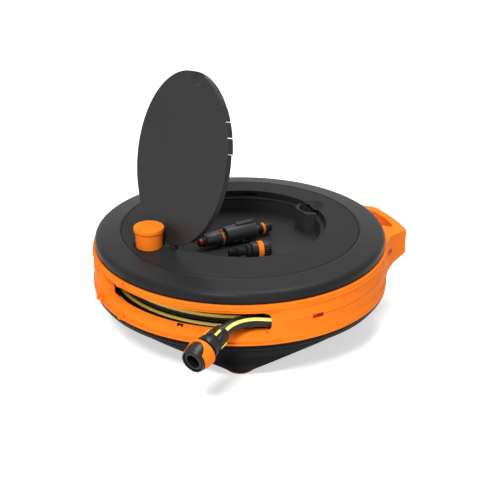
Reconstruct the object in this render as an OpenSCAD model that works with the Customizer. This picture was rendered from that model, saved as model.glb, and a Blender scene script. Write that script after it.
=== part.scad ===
// Flat garden hose reel that lies on three feet and turns about a vertical axis.
// The origin is on the turning axis at floor level, +Z is up.
// The lid stands open and the hose end waits outside the slot.

/* [Hose] */
// Outer diameter of the hose
hose_d = 17; // [15:0.5:18]
// Bore of the hose
hose_bore = 13; // [10:0.5:13]
// Layers of hose on the drum
hose_layers = 3; // [2:1:3]
// Turns of the outermost layer
outer_turns = 2.94; // [2:0.02:3]
// Gap between turns of the outermost layer
turn_gap = 0.6; // [0.5:0.1:0.9]

/* [Drum] */
// How far the drum core stands outside the lid's recess
core_margin = 19; // [17:0.5:22]
// Wall of the drum core
core_wall = 3.5; // [2.5:0.5:3.5]
// Thickness of the drum's upper flange
flange_t = 3; // [2:0.5:3]
// Thickness of the drum's lower flange
low_flange_t = 2; // [1.5:0.25:2.5]
// Clear width between the drum flanges
drum_w = 72.5; // [72:0.5:74]
// Radius of the fixed spindle
spindle_r = 15; // [13:0.5:17]
// Running clearance of the drum on the spindle
spindle_clear = 0.08; // [0.05:0.01:0.1]
// Thickness of the sliding ring under the drum
slide_ring_t = 3; // [2.5:0.5:4]

/* [Case] */
// Free room between the drum flange and the outside of the top ring
lane_w = 22; // [21:0.5:30]
// How far the orange band stands proud of the top ring
band_out = 5; // [4.5:0.5:8]
// Wall of the case shells
case_wall = 3.5; // [3:0.25:4]
// Height of the bowl floor above the ground
foot_h = 42; // [36:1:50]
// Height of the black bowl
bowl_h = 27; // [24:1:29]
// Height of the lower orange shell
lower_h = 32.5; // [31:0.5:36]
// Height of the upper orange shell
upper_h = 28.5; // [28:0.5:34]
// Height of the black top ring
ring_h = 21; // [19:0.5:26]
// Radius of the top ring's shoulder
shoulder_r = 8; // [5:0.5:12]
// Radius of a foot pad
pad_r = 20.5; // [16:0.5:26]
// Distance of a foot from the turning axis
foot_at = 164.5; // [155:0.5:168]
// Thickness of a foot pad
pad_t = 3; // [2:0.5:5]

/* [Hose slot] */
// Azimuth where the slot begins
slot_from = 209.7; // [206:0.1:214]
// Azimuth where the slot ends
slot_to = 280.3; // [276:0.1:284]
// Azimuth where the left flare of the slot runs out
flare_from = 202; // [198:0.5:204]
// Azimuth where the right flare of the slot runs out
flare_to = 286.5; // [285:0.5:289]
// Height of the slot mouth
slot_h = 28; // [24:0.5:30]
// Drop of the flared lower lip
lip_drop = 14.5; // [8:0.5:15]

/* [Carrying handle] */
// Azimuth of the middle of the handle
grip_at = 23; // [18:0.5:26]
// Distance of the grip bar's outer face from the turning axis
grip_reach = 271; // [268:0.5:280]
// Half the length of the handle's outer face
grip_half = 56; // [48:0.5:58]
// Width of the grip bar
grip_bar = 18; // [15:0.5:20]
// Height that the handle loses above and below towards the bar
grip_taper = 10; // [5:0.5:12]

/* [Turntable and tray] */
// Thickness of the turntable plate
plate_t = 3.5; // [3:0.25:4]
// Running gap round the turntable
table_gap = 0.7; // [0.5:0.1:1.2]
// Sideways offset of the tray from the turning axis
tray_x = 4; // [0:0.5:6]
// Backward offset of the tray from the turning axis
tray_y = 15; // [10:0.5:16]
// Radius of the recess that takes the lid
recess_r = 127.5; // [126:0.5:129]
// Depth of the ledge that carries the lid
ledge_depth = 10; // [9.5:0.25:12]
// Width of that ledge
ledge_w = 8; // [7:0.5:10]
// Depth of the tray
tray_depth = 40; // [36:0.5:42]
// Wall of the tray
tray_wall = 2.5; // [2:0.25:3]
// Radius of the finger cup
cup_r = 20.5; // [19:0.5:21]

/* [Lid] */
// Gap between the lid and the recess
lid_gap = 0.8; // [0.6:0.1:1.2]
// Thickness of the lid plate
lid_t = 3; // [2.5:0.25:3.5]
// Direction from the tray's middle to the lid hinge
hinge_at = 210.7; // [208:0.1:213]
// Distance of the hinge pin from the tray's middle
hinge_out = 134.4; // [134:0.1:136]
// Depth of the hinge pin below the lid's top face
hinge_drop = 7.55; // [7:0.05:8]
// Angle to which the lid stands open
lid_open = 75; // [40:1:76]
// Radius of the hinge pin
hinge_pin_r = 1.6; // [1.2:0.1:2]
// Distance of a hinge arm from the hinge's middle
arm_at = 31; // [26:0.5:36]
// Width of a hinge arm
arm_w = 12; // [8:0.5:14]

/* [Winding knob] */
// Direction of the knob from the turning axis
knob_at = 207.6; // [206:0.1:209]
// Distance of the knob from the turning axis
knob_out = 150; // [149:0.5:153]
// Radius of the knob at its top lip
knob_r = 22.4; // [20:0.2:23]
// Radius of the knob's body
knob_body_r = 19.5; // [18:0.1:19.8]
// Height of the knob above the turntable
knob_h = 30; // [24:0.5:40]
// Depth of the knob's seat in the turntable
knob_seat = 2.5; // [1.5:0.5:3]
// Radius of the knob's pin
knob_pin_r = 4; // [3:0.5:6]

/* [Hose connector] */
// Largest radius of the connector's collar
collar_r = 20.5; // [19:0.5:22]
// Length of the connector
connector_l = 70; // [68:0.5:76]
// Radius of the connector's mouth
mouth_r = 10; // [8.5:0.25:11]
// Depth of the connector's mouth
mouth_l = 22; // [16:0.5:24]
// Travel of the release collar
release_travel = 5; // [3:0.5:5]

/* [Water inlet] */
// Radius of the inlet elbow's arm
inlet_arm_r = 10; // [8:0.5:11]
// Distance of the inlet's tip from the turning axis
inlet_reach = 104; // [96:1:110]
// Radius of the inlet's plug neck
inlet_neck_r = 7.8; // [7:0.1:8.5]

/* [Hidden] */

orange = "#f58220";
black = "#2e2f31";
soft_black = "#232325";
yellow = "#d6c94a";
red = "#b3261e";
steel = "#b9bcc0";
nylon = "#e6e2d6";

fit = 0.3;
cut = 0.1;
round_n = 96;

// Heights, from the floor up
band_z = foot_h + bowl_h;
seam_z = band_z + lower_h;
ring_z = seam_z + upper_h;
top_z = ring_z + ring_h;
floor_top = foot_h + case_wall;
drum_z = floor_top + slide_ring_t + fit;
hose_z = drum_z + low_flange_t;
drum_top = hose_z + drum_w;
flange_top = drum_top + flange_t;

// Radii, from the drum out
core_r = recess_r + core_margin;
flange_r = core_r + hose_layers * hose_d + 0.5;
layer_r = core_r + (hose_layers - 0.5) * hose_d;
low_flange_r = layer_r + 4;
ring_r = flange_r + lane_w;
band_r = ring_r + band_out;
mid_r = band_r - 2.5;
inner_r = mid_r - case_wall;
table_r = flange_r - 18;
hub_r = spindle_r + 9;

// Turning pitch and the winding's chord allowance
pitch = hose_d + turn_gap;
loop_n = 24;
chord_in = layer_r * (1 - cos(180 / loop_n));
inner_layers_r = layer_r - hose_d / 2 - chord_in - 0.4;

function polar(r, a) = [r * cos(a), r * sin(a)];
function polar3(r, a, z) = [r * cos(a), r * sin(a), z];
function unit(v) = v / norm(v);
function arc(c, r, a0, a1, n) = [for (i = [0:n]) c + polar(r, a0 + (a1 - a0) * i / n)];
function mirror_y(pts) = [for (i = [len(pts) - 1:-1:0]) [pts[i].x, -pts[i].y]];

module at_polar(r, a, z = 0) {
    translate(polar3(r, a, z)) rotate([0, 0, a]) children();
}

// Places children whose own +Z runs along a direction given by azimuth and rise
module aimed(p, a, rise = 0) {
    translate(p) rotate([0, 90 - rise, a]) children();
}

module turned(pts, n = round_n) {
    rotate_extrude($fn = n) polygon(pts);
}

module tube_of(r_out, r_in, z0, z1, n = round_n) {
    difference() {
        translate([0, 0, z0]) cylinder(r = r_out, h = z1 - z0, $fn = n);
        translate([0, 0, z0 - cut]) cylinder(r = r_in, h = z1 - z0 + 2 * cut, $fn = n);
    }
}

// A round tube swept along a path, as one closed body of triangles
function heading(p, i) = unit(p[min(i + 1, len(p) - 1)] - p[max(i - 1, 0)]);
function ring_points(c, d, r, n) =
    let (u = unit(cross(d, [0, 0, 1])), w = cross(u, d))
    [for (k = [0:n - 1]) c + r * (cos(360 * k / n) * u + sin(360 * k / n) * w)];
module swept(path, r, n) {
    m = len(path);
    points = [for (i = [0:m - 1]) each ring_points(path[i], heading(path, i), r, n)];
    sides = [for (i = [0:m - 2], k = [0:n - 1])
        let (a = i * n + k, b = i * n + (k + 1) % n, c = a + n, d = b + n)
        each [[a, c, d], [a, d, b]]];
    first = [for (k = [1:n - 2]) [0, k, k + 1]];
    last = [for (k = [1:n - 2]) [(m - 1) * n, (m - 1) * n + k + 1, (m - 1) * n + k]];
    polyhedron(points = points, faces = concat(sides, first, last), convexity = 6);
}

// Fastener: a pan head with a shank that points up, both on the node's own axis
module screw(shank_r, shank_l, head_r, head_h) {
    cylinder(r = shank_r, h = shank_l, $fn = 24);
    difference() {
        translate([0, 0, -head_h]) cylinder(r1 = head_r * 0.85, r2 = head_r, h = head_h, $fn = 32);
        for (a = [0, 90]) rotate([0, 0, a]) translate([0, 0, -head_h])
            cube([head_r * 1.1, head_r * 0.22, head_h], center = true);
    }
}

// Case

feet = [30, 150, 270];
bowl_side = 60;
foot_flare = 70;
foot_spread = 78;
screw_ring = inner_r - 11;
case_screw_at = [0, 60, 120, 180, 240, 300];
case_screw_r = 2;
boss_r = 4.8;
rim_h = 2.5;
bowl_wall = 3;
join_z = band_z - bowl_h / 2;
join_r = band_r - bowl_side * (1 - cos(30));

function bowl_curve(inset, n) = [for (i = [0:n]) let (t = 90 * i / n)
    [band_r - bowl_side + (bowl_side - inset) * cos(t), band_z - (bowl_h - inset) * sin(t)]];
function bell_z(r) = pad_t + foot_flare * (1 - exp(-(r - pad_r - 1.5) / foot_spread));
function bell_curve(r_end, lift, n) = [for (i = [0:n]) let (r = pad_r + 1.5 + (r_end - pad_r - 1.5) * i / n)
    [r - lift * 0.6, bell_z(r) + lift]];
function bell_r(z) = pad_r + 1.5 - foot_spread * ln(1 - (z - pad_t) / foot_flare);
bell_end = bell_r(foot_h - 0.5);

module foot_envelope(inset) {
    turned([[0, pad_t + inset], [foot_at + pad_r + 1.5 - inset, pad_t + inset],
        [foot_at + pad_r + 15 - inset, pad_t + 20], [foot_at + pad_r + 24 - inset, foot_h],
        [join_r + 0.3 - inset, join_z], [join_r + 0.3 - inset, join_z + 4], [0, join_z + 4]]);
}

module foot_bell() {
    intersection() {
        at_polar(foot_at, 0) turned(concat([[0, pad_t]], bell_curve(bell_r(join_z), 0, 14),
            [[0, join_z]]));
        foot_envelope(0);
    }
}

module foot_hollow() {
    open_r = bell_end * 0.55;
    intersection() {
        at_polar(foot_at, 0) turned(concat([[0, pad_t + 4]], bell_curve(bell_end - 12, 4, 10),
            [[open_r, foot_h + 0.5], [open_r, floor_top + cut], [0, floor_top + cut]]));
        foot_envelope(case_wall + 0.5);
    }
}

module base_shell() color(black) difference() {
    union() {
        difference() {
            union() {
                turned(concat([[0, foot_h], [band_r - bowl_side, foot_h]],
                    [for (i = [12:-1:0]) bowl_curve(0, 12)[i]], [[0, band_z]]));
                for (a = feet) rotate([0, 0, a]) foot_bell();
            }
            turned(concat([[0, floor_top]], [for (i = [12:-1:0]) bowl_curve(bowl_wall, 12)[i]],
                [[band_r - bowl_wall, band_z + 1], [0, band_z + 1]]));
        }
        tube_of(inner_r - fit, inner_r - fit - 3, band_z - bowl_h * 0.48, band_z + rim_h);
        for (a = case_screw_at) at_polar(screw_ring, a, foot_h + bowl_h * 0.3)
            cylinder(r = boss_r, h = bowl_h * 0.7 + rim_h, $fn = 32);
    }
    for (a = feet) rotate([0, 0, a]) foot_hollow();
    for (a = feet) at_polar(foot_at, a, -cut) cylinder(r = 4, h = pad_t + 4 + 2 * cut, $fn = 32);
    for (a = case_screw_at) at_polar(screw_ring, a) {
        cylinder(r = case_screw_r + 0.2, h = band_z + rim_h + cut, $fn = 24);
        cylinder(r = boss_r - 0.9, h = band_z - 9, $fn = 24);
    }
    translate([0, 0, foot_h - cut]) cylinder(r = spindle_r + 0.1, h = case_wall + 2 * cut, $fn = round_n);
    for (a = [45:90:315]) at_polar(spindle_r + 5.5, a, foot_h - cut)
        cylinder(r = 1.5, h = case_wall + 2 * cut, $fn = 24);
}

module foot_pads() color(orange) for (a = feet) at_polar(foot_at, a) {
    turned([[0, 0], [pad_r - 1.5, 0], [pad_r, 1.2], [pad_r, pad_t], [0, pad_t]], 64);
    translate([0, 0, pad_t]) cylinder(r = 3.9, h = 5.5, $fn = 32);
    translate([0, 0, pad_t + 4]) turned([[0, 0.2], [5, 0.2], [4.2, 2.2], [0, 2.2]], 32);
}

// Radial section of the slot: an upper lip and a long lower sill that both roll inwards
slot_top = seam_z + slot_h * 0.48;
slot_low = slot_top - slot_h;
sill_in = inner_r - 12;
function sill_curve(drop, n) = [for (i = [0:n]) let (t = 90 * i / n)
    [sill_in - 1 + (mid_r + 0.5 - sill_in) * sin(t), slot_low - lip_drop + drop + lip_drop * cos(t)]];

module slot_plan() {
    steps = 6;
    polygon(concat([[0, 0]],
        [for (i = [0:steps]) polar(sill_in - 6 + (band_r + 8 - sill_in) * pow(i / steps, 1.6),
            slot_from + 1.5 - (slot_from + 1.5 - flare_from) * i / steps)],
        [polar((band_r + 4) * 1.1, (slot_from + slot_to) / 2 - 14), polar((band_r + 4) * 1.1,
            (slot_from + slot_to) / 2 + 14)],
        [for (i = [steps:-1:0]) polar(inner_r - 0.8 + (band_r + 1 - inner_r) * pow(i / steps, 1.3),
            slot_to + (flare_to - slot_to) * i / steps)]));
}

module slot_cutter() {
    intersection() {
        rotate([0, 0, flare_from - 4]) rotate_extrude(angle = flare_to - flare_from + 6, $fn = round_n)
            polygon(concat([[sill_in - 20, slot_low]], sill_curve(0, 8), [[band_r + 4,
                slot_low - lip_drop - 1],
                [band_r + 4, slot_top + 4], [mid_r, slot_top + 3.2], [inner_r - 1.5, slot_top],
                [sill_in - 20, slot_top]]));
        translate([0, 0, band_z]) linear_extrude(height = ring_z - band_z) slot_plan();
    }
}

// Solid from which the lips are cut, left open behind them
module lip_stock(z0, z1) {
    rotate([0, 0, flare_from - 1]) rotate_extrude(angle = slot_to - flare_from + 0.7, $fn = round_n)
        polygon([[sill_in, z0], [inner_r + 1, z0], [inner_r + 1, z1], [sill_in, z1]]);
}

module sill_end(z0) {
    rotate([0, 0, slot_to - 1.3]) rotate_extrude(angle = 4.5, $fn = round_n)
        polygon([[sill_in + 0.4, z0], [inner_r + 1.2, z0], [inner_r + 1.2, slot_low - 0.3],
            [sill_in + 0.4, slot_low - 0.3]]);
}

module sill_hollow() {
    rotate([0, 0, slot_from + 1.5]) rotate_extrude(angle = slot_to - slot_from - 3, $fn = round_n)
        polygon(concat([[sill_in - 5, slot_low - 3]], [for (p = sill_curve(-3.4, 8)) [min(p.x,
            inner_r), p.y]],
            [[inner_r, band_z + rim_h + 2], [sill_in - 5, band_z + rim_h + 2]]));
}

// Handle outline seen from above, about the handle's own middle line
corner_r = 16;
function grip_side(inset) = concat([polar(inner_r - 6, -31 + inset * 0.35),
    polar(mid_r + 1.5 - inset * 0.5, -26.5 + inset * 0.2),
    polar(mid_r + 8.7 - inset * 0.6, -20.4 + inset * 0.12), polar(mid_r + 20 - inset * 0.7,
        -16.2 + inset * 0.1)],
    arc([grip_reach - 4 - corner_r, -(grip_half - corner_r)], corner_r - inset, -50, -6, 5));
function grip_outline(inset) = concat(grip_side(inset), [[grip_reach - inset, 0]],
    mirror_y(grip_side(inset)));
hole_r = 8;
function hole_side(grow) = arc([grip_reach - 4 - grip_bar - hole_r, -(grip_half - grip_bar - hole_r)],
    hole_r + grow, -90, -5, 4);
function hole_outline(grow) = concat([[mid_r + 4 - grow, -(grip_half - grip_bar) - grow]], hole_side(grow),
    [[grip_reach - grip_bar + grow, 0]], mirror_y(hole_side(grow)),
    [[mid_r + 4 - grow, grip_half - grip_bar + grow]]);

// Half of the handle's revolved profile: side is -1 for the lower shell and 1 for the upper one
function grip_profile(side, inset) =
    let (root = (side < 0 ? band_z : ring_z) - side * inset, edge = root - side * grip_taper,
        out = grip_reach + 1 - inset)
    [[inner_r - 8, seam_z], [out, seam_z], [out, edge - side * 7], [out - 1.4, edge - side * 3.6],
        [out - 3.6, edge - side * 1.4], [out - 7, edge - side * 0.2], [mid_r + 36, edge + side * 0.3],
        [mid_r + 20, edge + side * grip_taper * 0.36], [mid_r + 3, root - side * 0.6], [inner_r - 8,
            root - side * 0.3]];

module grip_block(side, inset) {
    intersection() {
        rotate([0, 0, grip_at]) translate([0, 0, band_z - 1]) linear_extrude(height = ring_z - band_z + 2)
            polygon(grip_outline(inset));
        turned(grip_profile(side, inset));
    }
}

// A hollow half of the handle, open at the seam, with the case's own wall left across its root
module grip_half_shell(side) {
    difference() {
        grip_block(side, 0);
        difference() {
            grip_block(side, case_wall);
            translate([0, 0, band_z - 1]) cylinder(r = mid_r, h = ring_z - band_z + 2, $fn = round_n);
            rotate([0, 0, grip_at]) translate([0, 0,
                band_z - 1]) linear_extrude(height = ring_z - band_z + 2)
                polygon(hole_outline(case_wall - 0.5));
        }
        rotate([0, 0, grip_at]) translate([0, 0, band_z - 1]) linear_extrude(height = ring_z - band_z + 2)
            polygon(hole_outline(0));
        translate([0, 0, band_z - 1]) cylinder(r = inner_r, h = ring_z - band_z + 2, $fn = round_n);
    }
}

// Small hooks on the band beside the slot
lug_at = [202.5, 220.7];
module lug(a, z, up) {
    at_polar(mid_r - 1, a, z) rotate([90, 0, 0]) translate([0, 0, -3]) linear_extrude(height = 6)
        polygon([[0, 0], [band_r - mid_r + 5.5, up * 1.5], [band_r - mid_r + 4.5, up * 7], [0, up * 9.5]]);
}

clip_at = [43, 120, 180, 299];
clip_w = 17;
clip_h = 5.5;
// A further clip sits on the handle's front arm, square to that arm's side
arm_clip = polar3(mid_r + 8.2, grip_at - 20.4, seam_z);
arm_clip_turn = grip_at - 46;
module clip_windows(grow) {
    for (a = clip_at) at_polar(inner_r, a, seam_z) translate([1, 0, 0])
        cube([12, clip_w + grow, clip_h + grow], center = true);
    translate(arm_clip) rotate([0, 0, arm_clip_turn]) translate([-1, 0, 0])
        cube([10, clip_w + grow, clip_h + grow], center = true);
}

module lower_case() color(orange) difference() {
    union() {
        difference() {
            union() {
                turned([[inner_r, band_z], [band_r, band_z], [band_r, band_z + 8.5], [band_r - 0.6,
                    band_z + 10],
                    [mid_r + 0.2, band_z + 12.5], [mid_r, band_z + 15], [mid_r + 0.6, seam_z - 8],
                    [band_r - 1, seam_z - 0.6], [band_r - 1.5, seam_z], [inner_r, seam_z]]);
                lip_stock(band_z + rim_h + 0.2, seam_z);
                sill_end(band_z + rim_h + 1.2);
                grip_half_shell(-1);
                for (a = lug_at) lug(a, band_z + 0.5, 1);
            }
            slot_cutter();
            sill_hollow();
            clip_windows(0.4);
        }
        tube_of(inner_r + 0.5, screw_ring - boss_r, band_z + rim_h + 0.2, band_z + rim_h + 2.7);
        for (a = case_screw_at) at_polar(screw_ring, a, band_z + rim_h + 0.2) cylinder(r = boss_r,
            h = 10.5, $fn = 32);
    }
    for (a = case_screw_at) at_polar(screw_ring, a, band_z) cylinder(r = case_screw_r, h = 12, $fn = 24);
}

ring_screw_at = [15:60:315];
ring_screw_r = 1.5;
module upper_case() color(orange) difference() {
    union() {
        turned([[inner_r, seam_z], [band_r - 1.5, seam_z], [band_r - 1, seam_z + 0.6], [mid_r + 0.4,
            seam_z + 8],
            [mid_r, ring_z - 10], [mid_r + 0.3, ring_z - 8.5], [mid_r + 2, ring_z - 7.6], [mid_r + 2,
                ring_z - 6.4],
            [mid_r + 0.8, ring_z - 5.6], [mid_r + 0.8, ring_z - 0.8], [mid_r, ring_z],
            [sill_in + 1, ring_z], [sill_in + 1, ring_z - 3], [inner_r, ring_z - 3]]);
        lip_stock(seam_z, slot_top + 4);
        grip_half_shell(1);
        for (a = lug_at) lug(a, ring_z - 0.8, -1);
    }
    slot_cutter();
    clip_windows(0.4);
    for (a = ring_screw_at) at_polar(sill_in + 6, a, ring_z - 3 - cut)
        cylinder(r = ring_screw_r + 0.2, h = 3 + 2 * cut, $fn = 24);
}

module top_ring() color(black) difference() {
    in_r = table_r + table_gap;
    union() {
        turned(concat([[in_r, top_z - 8], [in_r, top_z - 0.6], [in_r + 0.6, top_z]],
            arc([ring_r - shoulder_r, ring_z + ring_h - 4.2 - shoulder_r], shoulder_r, 86, 0, 6),
            [[ring_r, ring_z], [ring_r - case_wall, ring_z]],
            arc([ring_r - shoulder_r, ring_z + ring_h - 4.2 - shoulder_r], shoulder_r - case_wall, 0,
                86, 6),
            [[in_r + case_wall, top_z - case_wall], [in_r + case_wall, top_z - 8]]));
        for (a = ring_screw_at) at_polar(sill_in + 6, a, ring_z)
            cylinder(r = 3.6, h = ring_h - 6.5, $fn = 32);
    }
    for (a = ring_screw_at) at_polar(sill_in + 6, a, ring_z - cut)
        cylinder(r = ring_screw_r, h = 9 + cut, $fn = 24);
}

module seam_clips() color(red) {
    for (a = clip_at) at_polar(inner_r, a, seam_z) {
        translate([-1.35, 0, 0]) cube([2, clip_w + 4, clip_h + 4], center = true);
        intersection() {
            translate([-0.1 + (mid_r - inner_r) / 2, 0, 0]) cube([mid_r - inner_r + 3, clip_w, clip_h],
                center = true);
            translate([-inner_r, 0, -clip_h]) cylinder(r = mid_r + 0.9, h = 2 * clip_h, $fn = round_n);
        }
    }
    translate(arm_clip) rotate([0, 0, arm_clip_turn]) cube([3.6, clip_w, clip_h], center = true);
}

module case_screws() color(steel) for (a = case_screw_at)
    at_polar(screw_ring, a, band_z - 9) screw(case_screw_r, 18, boss_r - 1.3, 2.4);

module ring_screws() color(steel) for (a = ring_screw_at)
    at_polar(sill_in + 6, a, ring_z - 3) screw(ring_screw_r, 10, 3.2, 2);

// Spindle and water path

spindle_flange_t = 4;
spigot_r = spindle_r - 3;
spigot_l = 12;
spindle_top = drum_z + 50;
bore_r = 6.5;
outlet_z = drum_z + 27;
groove_w = 2.8;
seal_z = [outlet_z - 8, outlet_z + 8];

module spindle() color(soft_black) difference() {
    union() {
        translate([0, 0, foot_h - spindle_flange_t])
            cylinder(r = spindle_r + 11, h = spindle_flange_t, $fn = round_n);
        translate([0, 0, foot_h - cut]) cylinder(r = spindle_r, h = spindle_top - foot_h - 10 + cut,
            $fn = round_n);
        translate([0, 0, spindle_top - 10 - cut]) cylinder(r = spindle_r - 3, h = 10 + cut, $fn = round_n);
        translate([0, 0, foot_h - spindle_flange_t - spigot_l])
            cylinder(r = spigot_r, h = spigot_l + cut, $fn = round_n);
    }
    translate([0, 0, foot_h - spindle_flange_t - spigot_l - cut])
        cylinder(r = bore_r, h = outlet_z + 8 - foot_h + spindle_flange_t + spigot_l, $fn = 48);
    for (a = [0:90:270]) at_polar(0, a, outlet_z) rotate([0, 90, 0]) cylinder(r = 4, h = spindle_r + 1,
        $fn = 32);
    for (z = seal_z) tube_of(spindle_r + 1, spindle_r - 2.2, z - groove_w / 2, z + groove_w / 2);
    for (a = [45:90:315]) at_polar(spindle_r + 5.5, a, foot_h - spindle_flange_t - cut)
        cylinder(r = 1.7, h = spindle_flange_t + 2 * cut, $fn = 24);
    tube_of(spigot_r + 1, spigot_r - 2, foot_h - spindle_flange_t - 6, foot_h - spindle_flange_t - 3.4);
    tube_of(spigot_r + 1, spigot_r - 1.2, foot_h - spindle_flange_t - spigot_l + 1.2,
        foot_h - spindle_flange_t - spigot_l + 2.6);
}

module spindle_screws() color(steel) for (a = [45:90:315])
    at_polar(spindle_r + 5.5, a, foot_h - spindle_flange_t) screw(1.5,
        spindle_flange_t + case_wall + 0.5, 3.2, 2);

module spindle_washer() color(nylon)
    tube_of(hub_r - 2, spindle_r - 2.9, spindle_top - 10 + 0.02, spindle_top - 8);

module spindle_nut() color(black) difference() {
    translate([0, 0, spindle_top - 7.9]) cylinder(r = spindle_r + 3, h = 7, $fn = 6);
    translate([0, 0, spindle_top - 8]) cylinder(r = spindle_r - 3, h = 8, $fn = round_n);
}

module slide_ring() color(nylon)
    tube_of(hub_r + 10, spindle_r + 8.5, floor_top, floor_top + slide_ring_t);

tail_at = 100;
fitting_low = drum_z + 14;
fitting_high = spindle_top - 10.1;
fitting_r = spindle_r + 8;
fitting_lug_r = spindle_r + 14;

module drum() color(black) difference() {
    union() {
        tube_of(core_r, core_r - core_wall, drum_z, flange_top);
        tube_of(low_flange_r, core_r - 1, drum_z, hose_z);
        tube_of(flange_r, core_r - 1, drum_top, flange_top);
        translate([0, 0, drum_z]) cylinder(r = hub_r, h = 13.9, $fn = round_n);
        translate([0, 0, drum_z]) cylinder(r = fitting_lug_r + 4, h = 5, $fn = round_n);
        for (a = [10:60:310]) rotate([0, 0, a]) {
            translate([hub_r - 3, -9, drum_z]) cube([core_r - core_wall - hub_r + 4, 18, 3]);
            translate([hub_r - 3, -1.5, drum_z]) cube([core_r - core_wall - hub_r + 4, 3, 12]);
        }
        tube_of(core_r - core_wall + 1, core_r - core_wall - 14, drum_z, drum_z + 3.5);
        for (a = table_screw_at) at_polar(table_screw_out, a, drum_top)
            cylinder(r = 6.5, h = flange_t, $fn = 32);
        for (a = [55, 145, 235, 325]) at_polar(fitting_lug_r - 2, a, drum_z) cylinder(r = 4, h = 13.9,
            $fn = 32);
    }
    translate([0, 0, drum_z - cut]) cylinder(r = spindle_r + spindle_clear, h = 14 + 2 * cut,
        $fn = round_n);
    at_polar(core_r - core_wall - 3, tail_at, outlet_z) rotate([0, 90, 0])
        cylinder(r = hose_d / 2 + fit, h = core_wall + 6, $fn = 48);
    for (a = table_screw_at) at_polar(table_screw_out, a, drum_top - cut)
        cylinder(r = table_screw_r + 0.2, h = flange_t + 2 * cut, $fn = 24);
    for (a = [55, 145, 235, 325]) at_polar(fitting_lug_r - 2, a, drum_z + 4) cylinder(r = 1.5, h = 12,
        $fn = 24);
}

// The inner layers are plain, and where the hose climbs out of them a ramp carries it
ramp_at = 279;
module hose_inner_layers() color(soft_black) {
    tube_of(inner_layers_r, core_r + 0.2, hose_z + fit, drum_top - fit);
    rotate([0, 0, ramp_at]) translate([0, 0, hose_z + 0.6]) linear_extrude(height = hose_d - 1.6)
        polygon([[inner_layers_r - 8, hose_d + 0.2], [layer_r + hose_d / 2, hose_d + 0.2],
            [layer_r + 2, 45], [inner_layers_r * 0.93, 70]]);
}

// The outermost layer is one unbroken tube; both ends run straight for a diameter
first_z = hose_z + hose_d / 2 + 0.5;
function wound(i) = let (t = i / loop_n) polar3(layer_r, ramp_at - 360 * t, first_z + pitch * t);
wound_n = floor(outer_turns * loop_n);
function tangent(i, way) = let (a = ramp_at - 360 * i / loop_n) way * [sin(a), -cos(a),
    pitch / (2 * PI * layer_r)];
outer_path = concat([wound(0) + hose_d * tangent(0, -1)], [for (i = [0:wound_n]) wound(i)],
    [wound(wound_n) + hose_d * tangent(wound_n, 1)]);
function least_gap(path) = min([for (i = [0:len(path) - 1], j = [i + loop_n / 2:1:len(path) - 1])
    norm(path[i] - path[j]) - hose_d]);
echo(least_gap_of_outer_layer = least_gap(outer_path));

module hose_outer_layer() color(soft_black) swept(outer_path, hose_d / 2, 6);

module hose_tail() color(soft_black) difference() {
    at_polar(0, tail_at, outlet_z) rotate([0, 90, 0])
        translate([0, 0, fitting_r + 4]) cylinder(r = hose_d / 2, h = core_r - fitting_r - 4, $fn = 48);
    at_polar(0, tail_at, outlet_z) rotate([0, 90, 0])
        translate([0, 0, fitting_r + 3]) cylinder(r = hose_bore / 2, h = core_r - fitting_r, $fn = 48);
}

module hose_clamp() color(steel) at_polar(0, tail_at, outlet_z) rotate([0, 90, 0]) translate([0, 0,
    fitting_r + 10]) {
    tube_of(hose_d / 2 + 1.1, hose_d / 2 + 0.02, 0, 9, 48);
    translate([-4, hose_d / 2 + 0.9, 0]) cube([8, 5, 9]);
}

module rotary_fitting() color(soft_black) difference() {
    union() {
        translate([0, 0, fitting_low]) cylinder(r = fitting_r, h = fitting_high - fitting_low,
            $fn = round_n);
        at_polar(0, tail_at, outlet_z) rotate([0, 90, 0]) {
            cylinder(r = hose_d / 2 + 1.5, h = fitting_r + 3.5, $fn = 48);
            translate([0, 0, fitting_r]) cylinder(r = hose_bore / 2 - 0.05, h = 28, $fn = 48);
        }
        for (a = [55, 145, 235, 325]) rotate([0, 0, a]) translate([fitting_r - 4, -4, fitting_low])
            cube([fitting_lug_r - 2 - fitting_r + 4, 8, 4]);
        for (a = [55, 145, 235, 325]) at_polar(fitting_lug_r - 2, a, fitting_low) cylinder(r = 4,
            h = 4, $fn = 32);
    }
    translate([0, 0, fitting_low - cut])
        cylinder(r = spindle_r + spindle_clear, h = fitting_high - fitting_low + 2 * cut, $fn = round_n);
    tube_of(spindle_r + 2.5, spindle_r - 1, outlet_z - 5.4, outlet_z + 5.4);
    at_polar(0, tail_at, outlet_z) rotate([0, 90, 0]) cylinder(r = hose_bore / 2 - 1.6,
        h = fitting_r + 30, $fn = 48);
    for (a = [55, 145, 235, 325]) at_polar(fitting_lug_r - 2, a, fitting_low - cut)
        cylinder(r = 1.7, h = 4 + 2 * cut, $fn = 24);
}

module spindle_seals() color(soft_black) {
    for (z = seal_z) translate([0, 0, z])
        rotate_extrude($fn = round_n) translate([spindle_r - 1.1, 0]) circle(r = 1.08, $fn = 24);
    translate([0, 0, foot_h - spindle_flange_t - 4.7])
        rotate_extrude($fn = round_n) translate([spigot_r - 1, 0]) circle(r = 0.98, $fn = 24);
}

module fitting_screws() color(steel) for (a = [55, 145, 235, 325])
    at_polar(fitting_lug_r - 2, a, fitting_low + 4) mirror([0, 0, 1]) screw(1.5, 12, 3, 2);

// Turntable, tray and knob

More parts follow.
